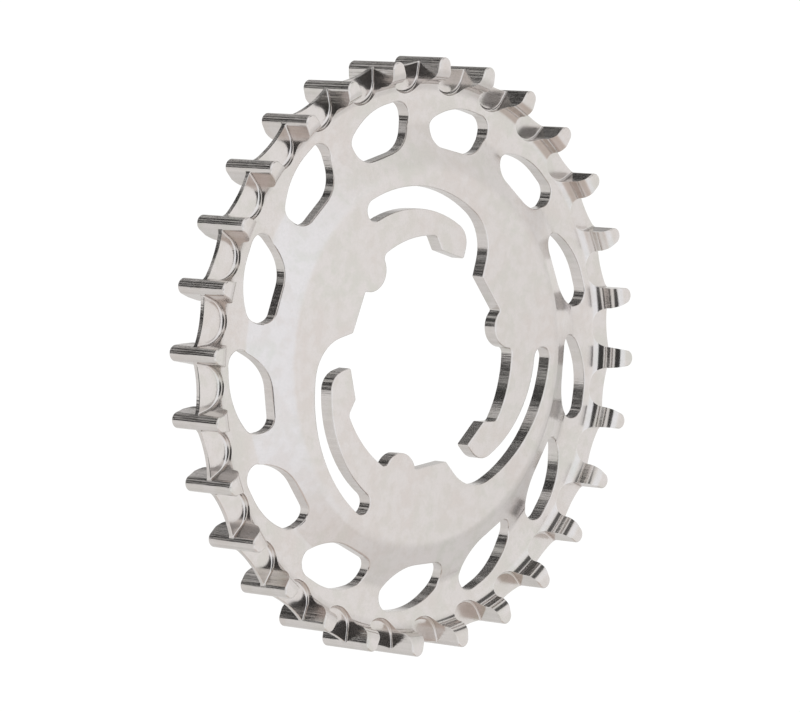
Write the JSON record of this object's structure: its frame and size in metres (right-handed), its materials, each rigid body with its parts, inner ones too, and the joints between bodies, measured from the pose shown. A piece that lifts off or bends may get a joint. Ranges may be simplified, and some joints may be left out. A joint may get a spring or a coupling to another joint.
{
  "type": "belt drive sprocket",
  "caption": "Flat toothed rear sprocket for a wide bicycle drive belt, with a centre fin, a dished middle, lightening holes and spring arms round the hub opening.",
  "frame": {"origin": "the wheel's axis at the middle of the belt's width, which is the middle plane of the teeth and of the centre fin", "axes": "+Z along the wheel's axis, towards the side on which the middle is raised; +X through the crest of a tooth"},
  "size_m": [0.0964, 0.0964, 0.0104],
  "materials": {
    "steel": "satin"
  },
  "bodies": {
    "root": {"sprocket": "steel"}
  },
  "joints": []
}
